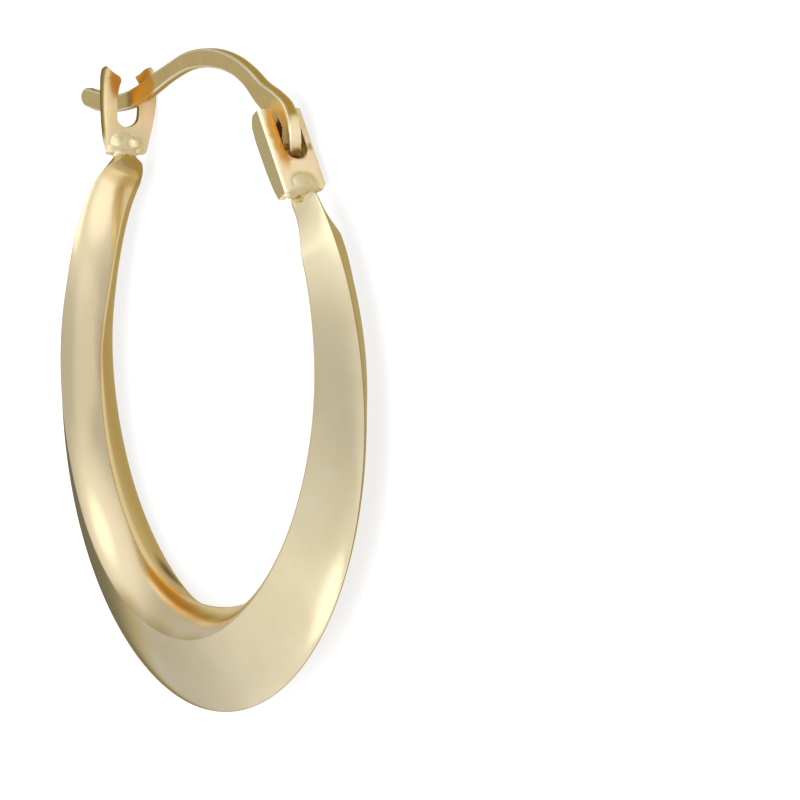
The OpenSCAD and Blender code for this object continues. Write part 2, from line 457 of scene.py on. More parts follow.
@dataclass(frozen=True)
class GoldFinish:
    """A pale gold alloy and how its surface was made.

    Attributes:
        title: Name of the material.
        face: Colour of the clean metal.
        cloud: Colour that it drifts to.
        second: Colour where the paint attribute asks for it.
        cloud_mm: Size of that drift.
        rough: Roughness where it is smoothest.
        rough_more: What worn places add to it.
        grain_mm: Size of the fine grain.
        grain_um: Height of that grain.
        wave_mm: Size of the slow waves left by the hand finish.
        wave_um: Height of those waves.
        metal: How metallic its skin is, less than 1 where the pickle left it matt.
        ragged_mm: How far the stains' edges wander.
        stains: Its stains.
    """

    title: str
    face: str
    cloud: str
    second: str
    cloud_mm: float
    rough: float
    rough_more: float
    grain_mm: float
    grain_um: float
    wave_mm: float
    wave_um: float
    metal: float = 1.0
    ragged_mm: float = 0.12
    stains: tuple[Stain, ...] = ()

    def make(self) -> bpy.types.Material:
        """Makes the material.

        Returns:
            The material.
        """
        material = bpy.data.materials.new(self.title)
        material.use_nodes = True
        tree = material.node_tree
        tree.nodes.clear()
        add = partial(add_node, tree)
        # Millimetres on the upright earring.
        place = add(
            "ShaderNodeMapping",
            {
                "vector_type": "TEXTURE",
                "Location": (0, REST_SHIFT * MM, REST_HEIGHT * MM),
                "Rotation": (-REST_TILT, 0, 0),
                "Scale": (MM, MM, MM),
            },
            {"Vector": add("ShaderNodeTexCoord").outputs["Object"]},
        ).outputs["Vector"]
        cloud, grain, wave = (
            add(
                "ShaderNodeTexNoise",
                {"Scale": 1 / size, "Detail": detail, "Roughness": 0.55},
                {"Vector": place},
            ).outputs["Fac"]
            for size, detail in ((self.cloud_mm, 3.0), (self.grain_mm, 2.0), (self.wave_mm, 1.0))
        )
        # Noise keeps to the middle of its range, which is stretched to the wanted one.
        drift, rough = (
            add(
                "ShaderNodeMapRange",
                {"From Min": 0.3, "From Max": 0.7, "To Min": low, "To Max": high},
                {"Value": noise},
            ).outputs["Result"]
            for noise, low, high in (
                (cloud, 0.0, 1.0),
                (grain, self.rough, self.rough + self.rough_more),
            )
        )
        painted = add("ShaderNodeAttribute", {"attribute_name": PAINT}).outputs["Fac"]
        tones, levels = Mix.COLOURS, Mix.NUMBERS
        clean = add(
            "ShaderNodeMix",
            {"data_type": tones.data, tones.under: linear(self.face), tones.over: linear(self.cloud)},
            {SHARE: drift},
        ).outputs[tones.out]
        colour = add(
            "ShaderNodeMix",
            {"data_type": tones.data, tones.over: linear(self.second)},
            {SHARE: painted, tones.under: clean},
        ).outputs[tones.out]
        metal = add(
            "ShaderNodeMix",
            {"data_type": levels.data, levels.under: self.metal, levels.over: 1.0},
            {SHARE: painted},
        ).outputs[levels.out]
        colour, rough, metal = self.stained(add, place, painted, (colour, rough, metal))
        normal: dict[str | int, Socket] = {}
        for height, size_um in ((wave, self.wave_um), (grain, self.grain_um)):
            bump = add(
                "ShaderNodeBump",
                {"Strength": 1.0, "Distance": size_um * UM},
                {"Height": height, **normal},
            )
            normal = {"Normal": bump.outputs["Normal"]}
        skin = add(
            "ShaderNodeBsdfPrincipled",
            links={"Base Color": colour, "Metallic": metal, "Roughness": rough, **normal},
        )
        add("ShaderNodeOutputMaterial", links={"Surface": skin.outputs["BSDF"]})
        return material

    def stained(
        self,
        add: Callable[..., bpy.types.Node],
        place: Socket,
        painted: Socket,
        skin: Sequence[Socket],
    ) -> Sequence[Socket]:
        """Lays the stains over the metal.

        Args:
            add: Adds a node to the tree.
            place: Place on the upright earring in millimetres.
            painted: 1 at the painted places.
            skin: Colour, roughness and how metallic it is, so far.

        Returns:
            The same three, with the stains.
        """
        wander = add("ShaderNodeTexNoise", {"Scale": 2.6, "Detail": 3.0}, {"Vector": place})
        about = add(
            "ShaderNodeVectorMath",
            {"operation": "SUBTRACT", 1: (0.5, 0.5, 0.5)},
            {0: wander.outputs["Color"]},
        )
        ragged = add(
            "ShaderNodeVectorMath",
            {"operation": "MULTIPLY_ADD", 1: (2 * self.ragged_mm,) * 3},
            {0: about.outputs["Vector"], 2: place},
        ).outputs["Vector"]
        for stain in self.stains:
            near = add(
                "ShaderNodeMapping",
                {
                    "label": stain.title,
                    "vector_type": "TEXTURE",
                    "Location": stain.middle,
                    "Rotation": (0, 0, math.radians(stain.lean)),
                    "Scale": stain.reach,
                },
                {"Vector": ragged if stain.ragged else place},
            )
            far = add("ShaderNodeVectorMath", {"operation": "LENGTH"}, {0: near.outputs["Vector"]})
            share = add(
                "ShaderNodeMapRange",
                {
                    "interpolation_type": "SMOOTHSTEP",
                    "From Min": 1.0,
                    "From Max": 1.0 - stain.soft,
                    "To Max": stain.strength,
                },
                {"Value": far.outputs["Value"]},
            ).outputs["Result"]
            if stain.painted:
                share = add(
                    "ShaderNodeMath", {"operation": "MULTIPLY"}, {0: share, 1: painted}
                ).outputs[0]
            layers = (
                (Mix.COLOURS, linear(stain.colour)),
                (Mix.NUMBERS, stain.rough),
                (Mix.NUMBERS, stain.metal),
            )
            skin = [
                add(
                    "ShaderNodeMix",
                    {"data_type": mix.data, mix.over: value},
                    {SHARE: share, mix.under: under},
                ).outputs[mix.out]
                for under, (mix, value) in zip(skin, layers)
            ]
        return skin


# Tumbled and buffed 9 ct gold: nearly a mirror, with a faint haze. The inside of the hoop is painted
# more yellow, for the gold that it reflects of itself, with painted orange and dark reflections and a
# painted shade band along its crease.
POLISHED_GOLD = GoldFinish(
    "polished_pale_gold", "F2E6C4", "ECDCB4", "F1DFB8", 2.5, 0.13, 0.06, 0.06, 0.35, 1.6, 2.0,
    stains=(
        # Painted reflection: the face is warmer towards its lower left.
        Stain(
            "warm_foot", (-2.5, -8.6, 0.9), (4.0, 1.6, 0.9), -12, "E6CE96",
            0.7, 1.0, 1.0, 0.16, False,
        ),
        # Painted shade: darker golden bands on the inside, along its crease.
        *(
            Stain("golden_band", middle, reach, lean, "CFB474", strength, 1.0, 1.0, 0.18, False, True)
            for middle, reach, lean, strength in (
                ((0.9, -8.8, 1.5), (2.0, 0.75, 0.5), 4, 0.9),
                ((-1.4, -8.55, 1.5), (2.2, 0.75, 0.5), -14, 0.9),
                ((-3.9, -7.75, 1.45), (1.9, 0.7, 0.5), -32, 0.8),
            )
        ),
        # Painted reflection: a dark spot inside the hoop's bottom.
        Stain(
            "dark_inside", (-4.3, -6.55, -0.7), (1.7, 0.55, 0.55), -45, "463A1E",
            0.95, 0.8, 1.0, 0.2, False,
        ),
        # Painted reflections: orange patches inside the hoop's bottom.
        Stain(
            "flame", (-3.7, -6.75, 0.22), (1.5, 0.5, 0.32), -38, "F0BC5E",
            0.95, 0.8, 1.0, 0.18, False,
        ),
        Stain(
            "flame", (-2.6, -7.2, 0.2), (1.8, 0.55, 0.5), -24, "ECAE48",
            0.95, 0.8, 1.0, 0.18, False,
        ),
        Stain(
            "flame", (-1.2, -7.6, 0.45), (1.9, 0.55, 0.5), -12, "E6AE54",
            0.95, 0.8, 1.0, 0.18, False,
        ),
        Stain("flame", (0.4, -7.8, 0.75), (1.8, 0.5, 0.4), 0, "D8B870", 0.9, 0.9, 1.0, 0.18, False),
        # Painted reflection: darker and more golden at the neck by the catch, where the limb curves
        # in.
        Stain("neck", (-6.2, 8.65, 0.0), (0.8, 1.9, 2.4), 37, "DEC48C", 0.9, 0.6, 1.0, 0.3, False),
        # Painted reflection: a pinkish, rougher line along the inside's ridge of the limb that leads
        # to the catch.
        Stain("handled", (-8.35, 1.8, 0.1), (0.35, 2.0, 0.28), 0, "DCC4A6", 0.6, rough=0.25),
    ),
)
# Rolled strip, left satin from the draw plate. Its edges are painted lighter, as a painted highlight
# along them. At both fittings it is painted orange, for the orange reflections there, and dark brown,
# for the shade at its end and in the slot; its outer side is lighter and smoother at the hinge.
SATIN_GOLD = GoldFinish(
    "satin_rolled_gold", "E7CD8E", "DBBE78", "FAF0D2", 1.2, 0.26, 0.1, 0.05, 0.6, 0.8, 1.5,
    stains=(
        # Painted reflections: orange at the catch and at the hinge.
        Stain(
            "warmed_at_the_catch", (-5.15, 11.75, 0.1), (1.15, 0.85, 0.3), 35, "CF9020",
            0.95, 0.3, 0.9,
        ),
        Stain(
            "warmed_at_the_hinge", (5.15, 11.05, 0.13), (0.85, 1.15, 0.25), 15, "DDAE50",
            0.95, 0.5, 0.75,
        ),
        # Lighter and smoother on its outer side at the hinge.
        Stain(
            "rubbed_outside", (6.2, 11.15, -0.12), (0.42, 1.5, 0.5), 5, "F3E6C6",
            0.95, 0.4, 0.55, 0.35,
        ),
        # Painted shade: dark brown at the wire's end and behind it in the slot.
        Stain("burnt_end", (6.1, 9.9, -0.12), (0.6, 0.35, 0.5), 0, "8A6420", 0.8, 0.4),
        Stain("burnt_rear", (4.8, 10.6, -0.4), (0.6, 1.3, 0.42), 0, "4A2A0A", 1.0, 0.3, 1.0, 0.6),
    ),
)
# Sheet that the torch has warmed: pinkish and matt from the pickle. Round the slot it is painted
# orange, for the reflections there, and brown and dark brown, for the shade at the slot's end and in
# the channel. The outsides of the cheeks keep the green-grey of the roll.
HINGE_GOLD = GoldFinish(
    "torched_bracket_gold", "F3E6C6", "F1DCBC", "DCC992", 0.9, 0.36, 0.12, 0.05, 0.8, 0.5, 2.0,
    metal=0.6,
    stains=(
        # Painted reflections: orange round the slot and along its rim.
        Stain(
            "warmed_at_the_slot", (5.75, 10.7, 0.5), (0.6, 1.75, 0.36), 35, "E6AE50",
            0.95, 0.5, 0.75,
        ),
        Stain("warmed_rim", (5.75, 10.7, 0.36), (0.6, 1.5, 0.2), 35, "C98A26", 0.9, 0.8, 0.8),
        # Painted shade: brown at the slot's lower end, and dark brown inside the channel behind the
        # slot.
        Stain("burnt_rim", (6.2, 9.95, 0.0), (0.35, 0.3, 0.62), 35, "C88A3E", 0.6, 0.5, 0.7),
        Stain(
            "inside", (5.3, 10.15, 0.0), (0.62, 2.0, 0.8), 35, "4A3010",
            1.0, 0.2, 1.0, 0.6, False,
        ),
        Stain("pickle_mark", (6.15, 10.3, -0.75), (0.3, 0.3, 0.22), 35, "A59560", 0.8, 0.6, 0.8),
        Stain("solder_film", (6.9, 9.0, 0.0), (0.5, 0.62, 0.7), 35, "D3C69E", 0.85, 0.4, 0.75),
    ),
)
# The fork's sheet: peach on its prongs, painted orange on its barbs for the reflections there, painted
# dark green-grey on the upper prong's bent-back margin for its shade and the same on its cut edges,
# grey and cream with solder at its foot.
CATCH_GOLD = GoldFinish(
    "torched_catch_gold", "EAD6AC", "E2C896", "94803E", 0.7, 0.36, 0.12, 0.05, 0.8, 0.35, 4.0,
    metal=0.65,
    stains=(
        # Painted reflections: orange on the barbs of both prongs.
        Stain(
            "warmed_barb", (-6.4, 12.0, 0.44), (0.4, 0.8, 0.36), 0, "DCA044",
            0.9, 0.5, 0.85, 0.3, False,
        ),
        Stain("warmed_barb", (-6.2, 12.0, -0.6), (0.4, 0.8, 0.45), 0, "D0902C", 0.95, 0.4, 0.85),
        Stain("pickled_foot", (-6.35, 9.6, 0.0), (0.8, 1.0, 1.3), 0, "D6C8A4", 0.9, 0.5, 0.6, 0.36),
        Stain(
            "pink_prong", (-6.15, 10.8, -0.85), (0.4, 0.9, 0.35), 0, "EBCBAC",
            0.8, 0.6, 0.6, 0.4,
        ),
    ),
)
# Solder as it set, grey-green and cream, a little lumpy.
SOLDER = GoldFinish(
    "set_gold_solder", "E8DEBE", "DACEA8", "E6DCC0", 0.6, 0.34, 0.0, 0.2, 0.1, 0.4, 1.2, metal=0.7
)
# Drawn pin wire: plain, even yellow and a little dull.
PIN_GOLD = GoldFinish(
    "drawn_pin_gold", "DCC48A", "CDB274", "DCC48A", 0.6, 0.25, 0.1, 0.05, 0.5, 0.5, 1.0
)


# The pieces


@dataclass
class HoopTube:
    """The graduated hoop: two flat faces that meet in a knife edge, and a round inside.

    Turns are degrees round the hoop from its widest place, above 0 towards the hinge.
    """

    # The knife edge is an ellipse: its half axes, and how far up its middle is.
    edge_rx: float = 11.3
    edge_ry: float = 11.6
    edge_shift: float = 0.2
    # At the widest place: depth of a face and of the belly, and half the thickness.
    face_d: float = 2.8
    belly_d: float = 1.17
    half_thick: float = 1.44
    # Radius of the knife edge, and degrees round it to where each face starts.
    edge_half: float = 0.05
    edge_swing: float = 65
    # The polish rolls the faces over near the knife edge: by how much and how far in.
    edge_roll: float = 0.085
    roll_width: float = 0.24
    # Turns at which the limbs end.
    hinge_end: float = 142.5
    catch_end: float = 146.5
    # How the limbs swell and narrow near their ends: 1 on the hinge's side and -1 on
    # the catch's, from and to how many degrees, and what comes on above and below.
    limb_rows: tuple[tuple[float, float, float, float, float], ...] = (
        (-1, 112, 136, 0.2, -0.05),
        (-1, 140, 147, -0.2, -0.3),
        (1, 120, 130, 0.0, 0.07),
        (1, 126, 139, -0.34, 0.0),
        (1, 132, 136.5, 0.0, -0.35),
    )
    # How far the inside's ridge drops along the limb that carries the catch, and where.
    ridge_drop: float = 0.5
    ridge_turns: tuple[float, float] = (98, 132)
    # The inside is a pointed arch: how steeply it starts and ends, in degrees.
    arch_top: float = 72
    arch_foot: float = 25
    # Shares of the face's depth, of the belly and of the thickness, and the turn from
    # one row to the next.
    shares: tuple[tuple[float, float, float], ...] = (
        (1, 1, 1),
        (0.98, 0.78, 1),
        (0.82, 0.86, 0.87),
        (0.51, 1.07, 0.75),
        (0.295, 0.53, 0.61),
    )
    row_turn: float = 36
    # Degrees over which the limbs' ends round off.
    end_round: float = 2.4
    # How far the knife edge draws back where the limb goes under the bracket, and where.
    end_cut: float = 0.55
    cut_turns: tuple[float, float] = (138, 142)
    # Rings of the hoop and of each rounded end, and points of a section's lines.
    rings: int = 324
    end_rings: int = 8
    edge_points: int = 2
    face_points: int = 16
    belly_points: int = 12
    # Stations close to the crease keep it crisp: share of the face, step of the arch.
    crease_face: float = 0.985
    crease_arch: float = 0.15

    def edge_reach(self, turn: float) -> float:
        """Distance from the hoop's middle to the knife edge.

        Args:
            turn: The turn.

        Returns:
            The distance, from where a ray meets the edge's ellipse.
        """
        s, c = math.sin(math.radians(turn)), math.cos(math.radians(turn))
        a = (s / self.edge_rx) ** 2 + (c / self.edge_ry) ** 2
        b = 2 * self.edge_shift * c / self.edge_ry**2
        d = (self.edge_shift / self.edge_ry) ** 2 - 1
        return (math.sqrt(b * b - 4 * a * d) - b) / (2 * a)

    def halves(self, turn: float, thick: float) -> tuple[float, float]:
        """Half thickness above and below the middle plane.

        Args:
            turn: The turn.
            thick: Share of the thickness there.

        Returns:
            The two halves.
        """
        top = back = self.half_thick * thick
        for side, start, stop, above, below in self.limb_rows:
            share = rise(side * turn, start, stop)
            top += above * share
            back += below * share
        return top, back

    def face_line(self, face: float, height: float) -> list[tuple[float, float]]:
        """Points of one face, from the knife edge to the crease.

        Args:
            face: Depth of the face.
            height: Height of its crease.

        Returns:
            The points' depth and height.
        """
        points = []
        for i in range(1, self.edge_points + 1):
            swing = math.radians(self.edge_swing * i / self.edge_points)
            points.append(
                (self.edge_half * (1 - math.cos(swing)), self.edge_half * math.sin(swing))
            )
        start_d, start_h = points[-1]
        # A narrow face is rolled over less.
        roll = self.edge_roll * min(1.0, face / self.face_d + 0.25)
        # The stations lie closer together towards the knife edge.
        stations = [(i / self.face_points) ** 1.5 for i in range(1, self.face_points)]
        for s in (*stations, self.crease_face, 1.0):
            deep = start_d + (face - start_d) * s
            bow = roll * (1 - math.exp(-(deep - start_d) / self.roll_width)) * (1 - s)
            points.append((deep, start_h + (height - start_h) * s + bow))
        return points

    def arch(self) -> list[tuple[float, float]]:
        """Points of the inside from a crease to the ridge.

        Returns:
            The points, as shares of the belly's depth and of the crease's height.
        """
        top, foot = math.radians(self.arch_top), math.radians(self.arch_foot)
        deep, high = math.cos(foot) - math.cos(top), math.sin(top) - math.sin(foot)
        points = []
        for i in (self.crease_arch, *range(1, self.belly_points)):
            swing = top + (foot - top) * i / self.belly_points
            points.append(
                ((math.cos(swing) - math.cos(top)) / deep, (math.sin(swing) - math.sin(foot)) / high)
            )
        return points

    def section(self, turn: float) -> list[tuple[float, float]]:
        """Points round one section, as distance from the hoop's middle and height.

        Args:
            turn: The turn.

        Returns:
            The points, from the knife edge over the upper face and the inside.
        """
        face, belly, thick = spline(self.shares, abs(turn) / self.row_turn, mirrored=True)
        cut = self.end_cut * rise(turn, *self.cut_turns)
        edge = self.edge_reach(turn) - cut
        face, belly = face * self.face_d - cut, belly * self.belly_d
        top, back = self.halves(turn, thick)
        middle = (top - back) / 2
        ridge = middle - self.ridge_drop * rise(-turn, *self.ridge_turns)
        arch = self.arch()
        upper, lower = (
            [(deep, sign * high) for deep, high in self.face_line(face, half)]
            + [(face + belly * deep, ridge + (sign * half - ridge) * high) for deep, high in arch]
            for half, sign in ((top, 1), (back, -1))
        )
        loop = [(0.0, 0.0), *upper, (face + belly, ridge), *reversed(lower)]
        left = (self.catch_end + turn) if turn < 0 else (self.hinge_end - turn)
        part = min(1.0, left / self.end_round)
        shrink = max(0.04, math.sqrt(part * (2 - part)))
        core = (face + belly) / 2
        return [(edge - core - (d - core) * shrink, middle + (h - middle) * shrink) for d, h in loop]

    def build(self) -> Piece:
        """Makes the hoop's skin.

        Returns:
            The piece.
        """
        start, stop = self.end_round - self.catch_end, self.hinge_end - self.end_round
        # The rings lie closer together towards the ends.
        ends = [
            self.end_round * (1 - math.cos(math.pi / 2 * i / self.end_rings))
            for i in range(self.end_rings)
        ]
        turns = [end - self.catch_end for end in ends]
        turns += [start + (stop - start) * i / self.rings for i in range(self.rings + 1)]
        turns += [self.hinge_end - end for end in reversed(ends)]
        sections = [self.section(turn) for turn in turns]
        points = len(sections[0])
        outside = self.edge_points + self.face_points + 1

        def place(ring: int, point: int) -> Vector:
            """Place of a point."""
            turn = math.radians(turns[ring])
            radius, height = sections[ring][point]
            return Vector((radius * math.sin(turn), -radius * math.cos(turn), height))

        def paint(ring: int, point: int) -> float:
            """Paint of a point, all of it on the inside, which shows a painted reflection of its own
            gold.
            """
            return 1.0 if outside <= point <= points - outside else 0.0

        tube = spun_tube("hoop_tube", points, len(turns) - 1, place, paint)
        lay_down(tube)
        return tube


@dataclass
class EarWire:
    """The flat wire that goes through the ear lobe."""

    thick_hinge: float = 0.5
    thick_catch: float = 0.36
    # Places along X between which it goes from the catch's thickness to the hinge's.
    thick_from: float = -4
    thick_to: float = 4.5
    # Height of its middle plane on the upright earring, and radius of its corners.
    height: float = -0.12
    corner: float = 0.07
    # How much of the second, lighter colour the corners show: a painted highlight along the wire's
    # edges.
    corner_paint: float = 0.85
    steps: int = 280
    # Share of those steps in each of its round ends.
    end_share: float = 0.04
    # Steps along its flat sides, along its narrow sides and round a corner.
    flat_steps: int = 22
    narrow_steps: int = 4
    corner_steps: int = 4
    # Rear edge of the side that is worn in the slot: place along Y and along X.
    worn_edge: tuple[tuple[float, float], ...] = (
        (9.6, 5.75), (9.95, 5.6), (10.4, 5.5), (10.55, 5.44), (10.95, 5.46), (11.2, 5.24),
        (11.44, 4.79), (11.62, 4.2), (11.7, 3.0)
    )
    # How deep it is worn, and over how much of the wire that comes on.
    worn_depth: float = 0.3
    worn_step: float = 0.07
    # Middle line from the tail to the pin: place along X and Y, height of the wire.
    rows: tuple[tuple[float, float, float], ...] = (
        (-9.50, 11.21, 0.70),
        (-8.55, 11.10, 0.74),
        (-7.45, 11.10, 0.66),
        (-6.40, 11.27, 0.66),
        (-5.30, 11.62, 0.70),
        (-4.40, 12.03, 0.70),
        (-3.20, 12.54, 0.65),
        (-1.90, 13.00, 0.68),
        (-0.60, 13.20, 0.72),
        (0.60, 13.20, 0.70),
        (1.75, 13.01, 0.68),
        (2.75, 12.63, 0.72),
        (3.60, 12.14, 0.86),
        (4.46, 11.76, 1.06),
        (5.04, 11.30, 1.42),
        (5.34, 10.70, 1.46),
        (5.47, 10.12, 1.24),
    )

    def station(self, share: float) -> tuple[Vector, Vector, float]:
        """Middle, direction and height of the wire at a share of its length.

        Args:
            share: From 0 at the tail's tip to 1 past the pin.

        Returns:
            The middle, the unit direction and the height.
        """
        last = len(self.rows) - 1
        inner = (share - self.end_share) / (1 - 2 * self.end_share)
        place = last * max(0.0, min(1.0, inner))
        x, y, high = spline(self.rows, place)
        ahead = spline(self.rows, min(last, place + 0.05))
        behind = spline(self.rows, max(0, place - 0.05))
        way = Vector((ahead[0] - behind[0], ahead[1] - behind[1], 0)).normalized()
        middle = Vector((x, y, 0))
        part = min(share, 1 - share) / self.end_share
        if part < 1:
            swing = part * math.pi / 2
            outwards = -way if share < 0.5 else way
            middle += outwards * high / 2 * math.cos(swing)
            high = max(0.03, high * math.sin(swing))
        return middle, way, high

    def outline(self) -> list[tuple[float, float, float, float, float]]:
        """Points round the wire's section.

        Returns:
            For each, its share of the half height and of the corner along the height,
            the same two along the thickness, and its paint.
        """
        points = []
        for quarter, (flat, deep) in enumerate(((1, 1), (-1, 1), (-1, -1), (1, -1))):
            for i in range(self.corner_steps + 1):
                swing = math.pi / 2 * (quarter + i / self.corner_steps)
                points.append((flat, math.cos(swing), deep, math.sin(swing), self.corner_paint))
            on_flat = quarter % 2 == 0
            count = self.flat_steps if on_flat else self.narrow_steps
            for i in range(1, count):
                part = 1 - 2 * i / count
                if on_flat:
                    points.append((part * flat, 0.0, deep, deep, 0.0))
                else:
                    points.append((flat, flat, part * deep, 0.0, 0.0))
        return points

    def build(self) -> Piece:
        """Makes the wire.

        Returns:
            The piece.
        """
        stations = [self.station(i / self.steps) for i in range(self.steps + 1)]
        outline = self.outline()
        thinner = (self.thick_from, self.thick_catch), (self.thick_to, self.thick_hinge)

        def place(ring: int, point: int) -> Vector:
            """Place of a point."""
            middle, way, high = stations[ring]
            across = Vector((-way.y, way.x, 0))
            thick = along(thinner, middle.x)
            side_flat, round_flat, side_deep, round_deep = outline[point][:4]
            corner = min(self.corner, high * 0.4)
            flat = side_flat * (high / 2 - corner) + round_flat * corner
            deep = side_deep * (thick / 2 - corner) + round_deep * corner
            spot = middle + across * flat + Vector((0, 0, self.height + deep))
            if deep > 0 and spot.x > 4:
                worn = rise(along(self.worn_edge, spot.y) - spot.x, 0, self.worn_step)
                spot.z -= self.worn_depth * worn
            return spot

        def paint(ring: int, point: int) -> float:
            """Paint of a point, the same on every ring."""
            return outline[point][4]

        wire = spun_tube("ear_wire_strip", len(outline), self.steps, place, paint)
        lay_down(wire)
        return wire


@dataclass
class HingeBracket:
    """The bracket folded from sheet, with the slot that the ear wire turns in."""

    # Thickness of the sheet, half width of the web, its length, depth of the cheeks
    # and outer radius of the folds.
    sheet: float = 0.25
    web_half: float = 0.95
    length: float = 3.6
    cheek_d: float = 0.9
    fold_r: float = 0.17
    # The slot, open at the top: radius of its end, length and place across the web.
    slot_r: float = 0.5
    slot_len: float = 2.2
    slot_z: float = -0.12
    # Degrees that it leans by, and where the web's top edge is along X and Y.
    lean: float = 35
    top: tuple[float, float] = (5.05, 11.63)
    # Share of the length and share of the cheek's depth there.
    cheek_rows: tuple[tuple[float, float], ...] = (
        (0, 0.5), (0.04, 0.7), (0.11, 0.84), (0.25, 0.9), (0.39, 0.9), (0.64, 0.88),
        (0.86, 0.8), (1, 0.66)
    )
    # Place across the web and how far down the metal goes there.
    foot_rows: tuple[tuple[float, float], ...] = (
        (-0.95, 3.05), (-0.92, 3.25), (-0.8, 3.45), (-0.68, 3.52), (-0.55, 3.5), (-0.4, 3.4),
        (-0.15, 3.3), (0.15, 3.3), (0.45, 3.42), (0.65, 3.57), (0.95, 3.6)
    )
    # Steps down the sheet beside the slot and below it.
    rows_beside: int = 18
    rows_below: int = 16
    # Steps across a cheek, a fold, the web on each side of the slot, and the slot.
    cheek_steps: int = 8
    fold_steps: int = 6
    right_steps: int = 3
    left_steps: int = 2
    slot_steps: int = 14

    def columns(self) -> list[tuple[float, float, Zone]]:
        """Stations across the sheet.

        Returns:
            For each, its place across the web, its depth, or on a cheek its share of
            the cheek's depth, and the part of the sheet that it is on.
        """
        flat = self.web_half - self.fold_r
        right, left = self.slot_z + self.slot_r, self.slot_z - self.slot_r
        side = [
            (self.web_half, 1 - i / self.cheek_steps, Zone.CHEEK) for i in range(self.cheek_steps)
        ]
        for i in range(1, self.fold_steps + 1):
            swing = math.pi / 2 * i / self.fold_steps
            side.append(
                (flat + self.fold_r * math.cos(swing), self.fold_r * (1 - math.sin(swing)), Zone.WEB)
            )
        web = [
            (flat + (right - flat) * i / self.right_steps, 0.0, Zone.WEB)
            for i in range(1, self.right_steps + 1)
        ]
        web += [
            (self.slot_z + self.slot_r * math.cos(math.pi * i / self.slot_steps), 0.0, Zone.SLOT)
            for i in range(1, self.slot_steps)
        ]
        web += [
            (left + (-flat - left) * i / self.left_steps, 0.0, Zone.WEB)
            for i in range(self.left_steps)
        ]
        return side + web + [(-n, depth, zone) for n, depth, zone in reversed(side)]

    def build(self) -> Piece:
        """Makes the bracket.

        Returns:
            The piece.
        """
        columns = self.columns()
        rim_down = self.slot_len - self.slot_r
        stand = Matrix.Translation(Vector((*self.top, 0))) @ Matrix.Rotation(
            math.radians(self.lean), 4, "Z"
        )

        def place(column: int, row: int) -> Vector | None:
            """Place of a point, or None in the slot."""
            n, depth, zone = columns[column]
            if row < self.rows_beside:
                if zone is Zone.SLOT:
                    return None
                down = rim_down * row / self.rows_beside
            else:
                start = rim_down
                if zone is Zone.SLOT:
                    start += math.sqrt(max(0.0, self.slot_r**2 - (n - self.slot_z) ** 2))
                foot = along(self.foot_rows, n)
                down = start + (foot - start) * (row - self.rows_beside) / self.rows_below
            if zone is Zone.CHEEK:
                full = self.cheek_d * along(self.cheek_rows, down / self.length)
                depth = self.fold_r + (full - self.fold_r) * depth
            return stand @ Vector((-depth, -down, n))

        rows = self.rows_beside + self.rows_below + 1
        bracket = shaped_sheet("hinge_bracket", len(columns), rows, place)
        pick(bracket)
        bpy.ops.object.mode_set(mode="EDIT")
        bpy.ops.mesh.select_all(action="SELECT")
        bpy.ops.mesh.normals_make_consistent(inside=False)
        bpy.ops.object.mode_set(mode="OBJECT")
        turn_face(bracket, stand.to_3x3() @ Vector((1, 0, 0)))
        thicken(bracket, self.sheet, 0.04, 40, use_even_offset=True)
        # The cheeks keep the colour of the roll.
        paint = bracket.data.attributes.new(PAINT, "FLOAT", "FACE")
        for face in bracket.data.polygons:
            paint.data[face.index].value = 1.0 if abs(face.normal.z) > 0.9 else 0.0
        lay_down(bracket, HARD_EDGE)
        return bracket


